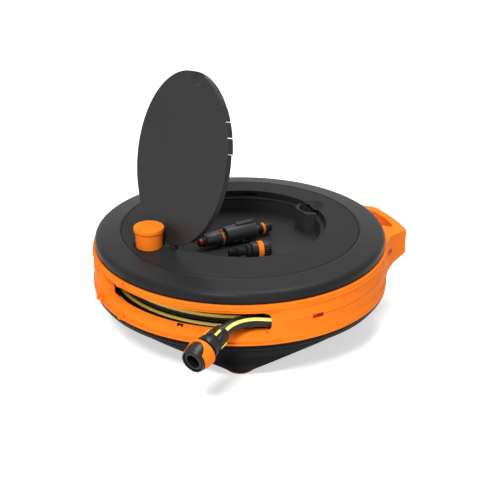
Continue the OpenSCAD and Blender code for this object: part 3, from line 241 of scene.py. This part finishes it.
def helix(radius, z, turns, start, climb, steps=72):
    """Points of a clockwise coil from an angle in degrees, which climbs so many pitches a turn."""
    points = []
    for t in (i / steps for i in range(round(turns * steps) + 1)):
        a = math.radians(start - 360 * t)
        points.append(Vector((radius * math.cos(a), radius * math.sin(a), z + climb * PITCH * t)))
    return points


outer = helix(OUTER_R, OUTER_Z, OUTER_TURNS, RAMP_AT, 1)
ramp = []
for i in range(CLIMB_STEPS):
    t = i / CLIMB_STEPS
    a = math.radians(RAMP_AT + CLIMB_ANGLE * (1 - t))
    r = MID_R + (OUTER_R - MID_R) * (3 * t * t - 2 * t ** 3)
    ramp.append(Vector((r * math.cos(a), r * math.sin(a), OUTER_Z)))
middle = helix(MID_R, OUTER_Z + PITCH * MID_TURNS, MID_TURNS, RAMP_AT + CLIMB_ANGLE + 360 * MID_TURNS, -1)
wound = middle[:-1] + ramp + outer
inner = helix(INNER_R, OUTER_Z, INNER_TURNS, INNER_START, 1)
straight = (outer[-1] - outer[-2]).normalized() * HOSE_D
wound.append(wound[-1] + straight)
# The wound layers' stripe is a darker olive yellow than the free end's stripe, as painted shade on the hose inside the
# reel.
wound_material = hose_material("soft_pvc_hose_wound_shaded_stripe", 0.13, "#e9df66", 0.0042)
wound_hose = hose_mesh("wound_hose", wound, HOSE_D / 2 - TURN_CLEARANCE, 28, twist=0.0505)
inner_hose = hose_mesh("inner_hose_layer", inner, HOSE_D / 2 - TURN_CLEARANCE, 20)
for piece in (wound_hose, inner_hose):
    piece.data.materials.append(wound_material)
    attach(piece, "drum")
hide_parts("hose_outer_layer", "hose_inner_layers")

tail_low, tail_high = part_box("hose_tail")
tail_at = math.atan2((tail_low[1] + tail_high[1]) / 2, (tail_low[0] + tail_high[0]) / 2)
tail_z = (tail_low[2] + tail_high[2]) / 2
tail_route = [Vector((r * math.cos(tail_at), r * math.sin(tail_at), tail_z))
              for r in (0.034, 0.06, 0.09, 0.12, 0.1445)]
tail = hose_mesh("hose_to_fitting", tail_route, HOSE_D / 2, 28)
tail.data.materials.append(wound_material)
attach(tail, "drum")
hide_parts("hose_tail")


# Moulded plastics
# The shells are injection moulded polypropylene. A fine spark grain breaks up the gloss, the
# colour drifts a little with the flow, and every moulded edge has a small radius.

def moulded(name, colour, roughness, shine=0.25, grain=0.0006, relief_depth=0.00002, edge=0.0005, drift=0.06,
             spread=0.05):
    """A moulded plastic. Grain and edge radius are in metres; drift and spread vary tone and gloss."""
    made, tree = blank_material(name)
    place = add(tree, "ShaderNodeTexCoord")
    flow = add(tree, "ShaderNodeTexNoise", {"Vector": place.outputs["Object"]}, Scale=9.0, Detail=3.0)
    tint = add(tree, "ShaderNodeHueSaturation", Color=linear(colour))
    shade = add(tree, "ShaderNodeMapRange", {"Value": flow.outputs[0]}, To_Min=1 - drift, To_Max=1 + drift)
    tree.links.new(shade.outputs[0], tint.inputs["Value"])
    grit = add(tree, "ShaderNodeTexNoise", {"Vector": place.outputs["Object"]}, Scale=1 / grain, Detail=2.0)
    rough = add(tree, "ShaderNodeMapRange", {"Value": grit.outputs[0]}, To_Min=roughness - spread,
                To_Max=roughness + spread)
    rounded = add(tree, "ShaderNodeBevel", samples=4, Radius=edge)
    relief = add(tree, "ShaderNodeBump", {"Height": grit.outputs[0], "Normal": rounded.outputs[0]}, Strength=0.35,
                 Distance=relief_depth)
    skin = add(tree, "ShaderNodeBsdfPrincipled", {"Base Color": tint.outputs[0], "Roughness": rough.outputs[0],
                                                  "Normal": relief.outputs[0]}, IOR=1.5, Specular_IOR_Level=shine)
    add(tree, "ShaderNodeOutputMaterial", {"Surface": skin.outputs[0]})
    return made


def dress(material, *names):
    """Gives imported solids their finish."""
    for name in names:
        for place in solids[name].material_slots:
            place.material = material


orange = moulded("orange_polypropylene", "#f37b20", 0.42, shine=0.012)
charcoal = moulded("charcoal_polypropylene", "#272728", 0.36, shine=0.025)
lid_charcoal = moulded("charcoal_lid_polypropylene", "#282829", 0.38, shine=0.12)
ring_charcoal = moulded("charcoal_ring_polypropylene", "#202021", 0.32, shine=0.09, edge=0.007)
# The tray's copy of the charcoal is painted lighter, as painted light and reflection on its walls and floor, which sit
# in shade down in the recess.
tray_charcoal_painted_light = moulded("charcoal_tray_painted_light", "#323233", 0.42, shine=0.03)
bowl_black = moulded("black_bowl_polypropylene", "#0c0c0d", 0.4, shine=0.06)
dark = moulded("black_acetal", "#151516", 0.33, shine=0.25)
lance_grey = moulded("grey_glass_filled_nylon", "#303233", 0.4, shine=0.22)
rubber = moulded("black_nitrile_rubber", "#161616", 0.62)
red = moulded("red_acetal", "#b81c0e", 0.36, shine=0.03)
yellow = moulded("yellow_soft_elastomer", "#d9d83c", 0.45)
nylon = moulded("natural_nylon", "#e2dfd2", 0.4)
wine = moulded("dark_red_acetal", "#6a140e", 0.3)
dress(orange, "foot_pads", "lower_case", "upper_case", "crank_knob", "release_collar", "nozzle_ring",
      "nozzle_collar")
dress(lid_charcoal, "lid")
dress(ring_charcoal, "top_ring")
dress(tray_charcoal_painted_light, "storage_tray")
dress(bowl_black, "base_shell")
dress(charcoal, "drum", "turntable", "spindle_nut", "inlet_elbow", "coupler_body")
dress(lance_grey, "nozzle_body")
dress(dark, "hose_nut", "release_sleeve", "spindle", "rotary_fitting", "connector_body", "nozzle_head",
      "coupler_sleeve")
dress(rubber, "spindle_seals", "inlet_seal", "coupler_seal")
# The seam clips' red is painted reflected light: orange light bouncing inside the shells' snap windows, drawn as a red
# insert.
dress(red, "seam_clips", "mouth_seal")
dress(wine, "nozzle_cap")
dress(yellow, "nut_grips")
dress(nylon, "spindle_washer", "slide_ring")

steel, tree = blank_material("zinc_plated_steel")
place = add(tree, "ShaderNodeTexCoord")
brush = add(tree, "ShaderNodeTexNoise", {"Vector": place.outputs["Object"]}, Scale=900.0, Detail=2.0)
rough = add(tree, "ShaderNodeMapRange", {"Value": brush.outputs[0]}, To_Min=0.25, To_Max=0.4)
skin = add(tree, "ShaderNodeBsdfPrincipled", {"Roughness": rough.outputs[0]}, Base_Color=linear("#b9bcc0"),
           Metallic=1.0)
add(tree, "ShaderNodeOutputMaterial", {"Surface": skin.outputs[0]})
dress(steel, "case_screws", "ring_screws", "spindle_screws", "hose_clamp", "fitting_screws", "turntable_screws",
      "tray_screws", "knob_pin", "lid_hinge_pin", "inlet_clip")


# Stored spray lance
# Two moulded upper shells clip over the lance's barrel and its cone, and the long one carries the
# flow slider. The shells are grey glass filled nylon, and the trigger lever and head ribs are acetal.

def freed():
    """Nothing selected and object mode, before something new is made."""
    if bpy.context.mode != "OBJECT":
        bpy.ops.object.mode_set(mode="OBJECT")
    bpy.ops.object.select_all(action="DESELECT")


def picked(piece):
    """Only this piece selected, and active."""
    freed()
    piece.select_set(True)
    bpy.context.view_layer.objects.active = piece


def with_modifier(piece, kind, **settings):
    """Adds a modifier and applies it."""
    picked(piece)
    made = piece.modifiers.new(kind.lower(), kind)
    for key, value in settings.items():
        setattr(made, key, value)
    bpy.ops.object.modifier_apply(modifier=made.name)


def finished(piece, body, material, place=None, smooth=35):
    """Puts the mesh in place, smooths it by angle, gives it its finish and its body."""
    if place is not None:
        piece.data.transform(place)
    picked(piece)
    bpy.ops.object.shade_smooth_by_angle(angle=math.radians(smooth))
    piece.data.materials.clear()
    piece.data.materials.append(material)
    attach(piece, body)
    return piece


def turned_piece(name, profile, steps=64, sweep=360.0):
    """A profile of (radius, height) in mm, swung round the local Z axis."""
    mesh = bpy.data.meshes.new(name)
    count = len(profile)
    mesh.from_pydata([(r / 1000, 0.0, z / 1000) for r, z in profile], [(i, (i + 1) % count) for i in range(count)], [])
    piece = bpy.data.objects.new(name, mesh)
    scene.collection.objects.link(piece)
    full = sweep == 360.0
    with_modifier(piece, "SCREW", angle=math.radians(sweep), steps=steps, render_steps=steps, axis="Z",
                  use_merge_vertices=full, use_normal_calculate=True, merge_threshold=1e-6)
    picked(piece)
    bpy.ops.object.mode_set(mode="EDIT")
    bpy.ops.mesh.select_all(action="SELECT")
    bpy.ops.mesh.remove_doubles(threshold=1e-6)
    if not full:
        bpy.ops.mesh.select_all(action="DESELECT")
        bpy.ops.mesh.select_non_manifold(extend=False)
        bpy.ops.mesh.edge_face_add()
        bpy.ops.mesh.select_all(action="SELECT")
    bpy.ops.mesh.normals_make_consistent(inside=False)
    bpy.ops.object.mode_set(mode="OBJECT")
    return piece


def block(name, size, centre, edge, segments=3):
    """A block in mm with rounded edges."""
    freed()
    bpy.ops.mesh.primitive_cube_add(size=1.0)
    piece = bpy.context.object
    piece.name = name
    scale = Matrix.Diagonal([v / 1000 for v in size] + [1])
    piece.data.transform(Matrix.Translation([c / 1000 for c in centre]) @ scale)
    with_modifier(piece, "BEVEL", width=edge / 1000, segments=segments, limit_method="NONE")
    return piece


def joined(name, pieces):
    """Joins pieces into the first one."""
    freed()
    for piece in pieces:
        piece.select_set(True)
    bpy.context.view_layer.objects.active = pieces[0]
    bpy.ops.object.join()
    pieces[0].name = name
    return pieces[0]


LANCE_AT, LANCE_TURN = Vector((-0.057, 0.002, 0.1223)), math.radians(30)
SHELL_SWEEP, SHELL_START = 186.0, math.radians(87)
lance_place = (Matrix.Translation(LANCE_AT) @ Matrix.Rotation(LANCE_TURN, 4, "Z")
               @ Matrix.Rotation(math.pi / 2, 4, "Y"))
shell = turned_piece("lance_upper_shell", [(10.6, 36.8), (13.0, 37.2), (14.2, 38.6), (14.7, 60), (14.7, 88.0),
                                           (13.6, 91.0), (10.6, 91.6)], steps=40, sweep=SHELL_SWEEP)
cone = turned_piece("lance_cone_shell", [(7.2, 2.6), (9.2, 3.0), (10.2, 4.6), (12.6, 28.4), (12.1, 30.0),
                                         (9.2, 30.4)], steps=40, sweep=SHELL_SWEEP)
for piece, lift in ((shell, 2.0), (cone, 1.2)):
    piece.data.transform(Matrix.Translation((-lift / 1000, 0, 0)) @ Matrix.Rotation(SHELL_START, 4, "Z"))
slider = block("lance_slider", (4.2, 9.5, 31), (-16.9, 0, 74), 1.6)
ribs = [block("lance_slider_rib", (1.4, 8.0, 1.1), (-18.8, 0, 64 + 3.0 * k), 0.4, 2) for k in range(8)]
stop = block("lance_slider_stop", (5.4, 7.6, 2.6), (-17.7, 0, 88.2), 0.9)
finished(joined("lance_shell_and_slider", [shell, cone, slider, stop] + ribs), "drum", lance_grey,
         lance_place)
lever = block("lance_lever", (5.6, 4.6, 24), (6.6, -9.4, 58), 1.8)
paddle = block("lance_lever_paddle", (3.6, 6.4, 9), (8.4, -11.2, 66), 1.5)
finished(joined("lance_trigger_lever", [lever, paddle]), "drum", dark, lance_place)
latch = block("lance_ring_latch", (4.6, 3.6, 3.0), (-12.3, 0, 32.6), 0.8)
finished(latch, "drum", orange, lance_place)
grip = turned_piece("lance_cap_grip", [(5.2, -7.0), (6.1, -6.6), (6.5, -5.4), (6.5, -1.2), (6.2, -0.4),
                                       (5.2, -0.3)], steps=48)
finished(grip, "drum", wine, lance_place)
HEAD_RIBS = 18
head_ribs = []
for k in range(HEAD_RIBS):
    rib = block("lance_head_rib", (1.1, 1.3, 6.6), (8.35, 0, 112.2), 0.4, 2)
    rib.data.transform(Matrix.Rotation(2 * math.pi * k / HEAD_RIBS, 4, "Z"))
    head_ribs.append(rib)
finished(joined("lance_head_ribs", head_ribs), "nozzle_head", dark, lance_place)

# Stored tap coupler
# Its sleeve is black with one orange band, and both of the sleeve's ends are ribbed for wet
# fingers. The plug end has a short moulded thread.
COUPLER_AT, COUPLER_TURN = Vector((-0.017, -0.043, 0.1249)), math.radians(15)
coupler_place = (Matrix.Translation(COUPLER_AT) @ Matrix.Rotation(COUPLER_TURN, 4, "Z")
                 @ Matrix.Rotation(math.pi / 2, 4, "Y"))
band = turned_piece("coupler_band_ring", [(12.4, 44.6), (13.2, 44.6), (13.6, 45.2), (13.6, 51.8), (13.2, 52.4),
                                          (12.4, 52.4)], steps=72)
finished(band, "coupler_sleeve", orange, coupler_place)
SLEEVE_RIBS = 20
grips = []
for k in range(SLEEVE_RIBS):
    for z, length in ((39.8, 7.2), (57.6, 7.6)):
        rib = block("coupler_sleeve_rib", (1.3, 1.5, length), (12.5, 0, z), 0.45, 2)
        rib.data.transform(Matrix.Rotation(2 * math.pi * (k + 0.5) / SLEEVE_RIBS, 4, "Z"))
        grips.append(rib)
finished(joined("coupler_sleeve_ribs", grips), "coupler_sleeve", dark, coupler_place)
threads = [turned_piece("coupler_thread", [(5.2, z - 0.55), (6.1, z - 0.12), (6.1, z + 0.12), (5.2, z + 0.55)],
                        steps=48) for z in (7.4, 8.8, 10.2, 11.6)]
finished(joined("coupler_plug_thread", threads), "drum", charcoal, coupler_place)

# Tongue of the shells' seam, coloured as painted shadow
# Between the two orange shells a thin tongue stands in the seam's gap. It is coloured dark brown as
# painted shadow of that gap, which draws the seam as a fine brown line. It stops at the clips and at the slot.
SEAM_Z, DEGREES_A_STEP = 0.1015, 1.5
tongue = moulded("painted_seam_shadow_orange", "#8a4312", 0.6, shine=0.0)
for k, (start, end) in enumerate([(287.5, 296.6), (301.4, 400.6), (45.4, 117.6), (122.4, 177.6), (182.4, 201.0)]):
    arc = turned_piece("seam_tongue_in_painted_shadow", [(223.0, -0.4), (223.64, -0.4), (223.64, 0.4), (223.0, 0.4)],
                       steps=round((end - start) / DEGREES_A_STEP), sweep=end - start)
    finished(arc, "case", tongue,
             Matrix.Translation((0, 0, SEAM_Z)) @ Matrix.Rotation(math.radians(start), 4, "Z"))
    arc.name = "seam_tongue_%d" % (k + 1)

# Corners of the hose slot
# The slot's right end is rounded, so that it doesn't scuff the hose. Each corner is a web of the
# shell's own orange behind its wall, filled up to a quarter round.

def corner_web(name, turn, way, z, up, wide, tall, near=217.2, far=219.1):
    """A concave corner at an azimuth in degrees: it runs wide mm the given way round and tall mm up."""
    steps = 10
    edge = []
    for k in range(steps + 1):
        a = math.pi / 2 * k / steps
        edge.append((wide * (1 - math.sin(a)), tall * (1 - math.cos(a))))
    verts, faces = [], []
    for r in (near, far):
        for along, high in [(-5.0, -1.0), (wide + 0.2, -1.0)] + edge + [(-5.0, tall + 0.2)]:
            a = math.radians(turn) + way * along / r
            verts.append((r * math.cos(a) / 1000, r * math.sin(a) / 1000, (z + up * high) / 1000))
    count = len(verts) // 2
    faces.append(tuple(range(count)))
    faces.append(tuple(count + k for k in reversed(range(count))))
    faces += [(k, (k + 1) % count, count + (k + 1) % count, count + k) for k in range(count)]
    mesh = bpy.data.meshes.new(name)
    mesh.from_pydata(verts, [], faces)
    piece = bpy.data.objects.new(name, mesh)
    scene.collection.objects.link(piece)
    picked(piece)
    bpy.ops.object.mode_set(mode="EDIT")
    bpy.ops.mesh.select_all(action="SELECT")
    bpy.ops.mesh.normals_make_consistent(inside=False)
    bpy.ops.object.mode_set(mode="OBJECT")
    return piece


SLOT_END = 281.4
corners = [corner_web("slot_corner", SLOT_END, -1, 114.9, -1, 11.0, 8.5),
           corner_web("slot_corner", SLOT_END, -1, 87.0, 1, 7.0, 6.5)]
finished(joined("slot_corner_webs", corners), "case", orange)

# Hooks on the bands
# Three short hooks of the shells' own orange stand out beside the slot, where the hose end can be
# tucked away. Each is a rounded bar on the moulded lug, with a notch under it.
for name, at, low, high in [("upper", 221.7, 121.5, 131.5), ("lower", 221.5, 69.6, 77.6), ("left", 204.5, 69.6, 78.6)]:
    bar = block("band_hook_bar", (5.4, 4.6, high - low), (224.6, 0, (low + high) / 2), 1.3)
    tip = block("band_hook_tip", (3.2, 6.4, 3.4), (225.6, 0, high - 2.0 if name == "upper" else low + 1.9), 1.1)
    finished(joined("band_hook_" + name, [bar, tip]), "case", orange,
             Matrix.Rotation(math.radians(at), 4, "Z"))

# Latches of the seam clips
# Each clip on the bands, painted red as the orange light bouncing in its snap window, has a raised
# thumb latch of dark red acetal, which is moulded on and slants across it. The clip on the handle's arm has none.
LATCH_AT, LATCH_SLANT = (0.2237, 0.0027, 0.1022), math.radians(-11)
for name, at in [("front_right", 299), ("back", 120), ("left", 180), ("back_right", 43)]:
    hump = block("seam_clip_latch_" + name, (1.8, 9.4, 2.7), (0, 0, 0), 0.6)
    hump.data.transform(Matrix.Translation(LATCH_AT) @ Matrix.Rotation(LATCH_SLANT, 4, "X"))
    finished(hump, "case", wine, Matrix.Rotation(math.radians(at), 4, "Z"))

# Hose stop on the sill
# A small black hook on the sill's rolled edge, where the hose end is parked. It is moulded in
# acetal and pushed into the shell with two pins.
SILL_STOP_AT = math.radians(246.9)
bar = block("sill_stop_bar", (3.4, 9.0, 2.6), (211.6, 0, 86.6), 0.8)
toes = [block("sill_stop_toe", (3.0, 2.4, 3.6), (213.0, y, 85.6), 0.7) for y in (-3.0, 3.2)]
finished(joined("sill_hose_stop", [bar] + toes), "case", dark,
         Matrix.Rotation(SILL_STOP_AT, 4, "Z"))
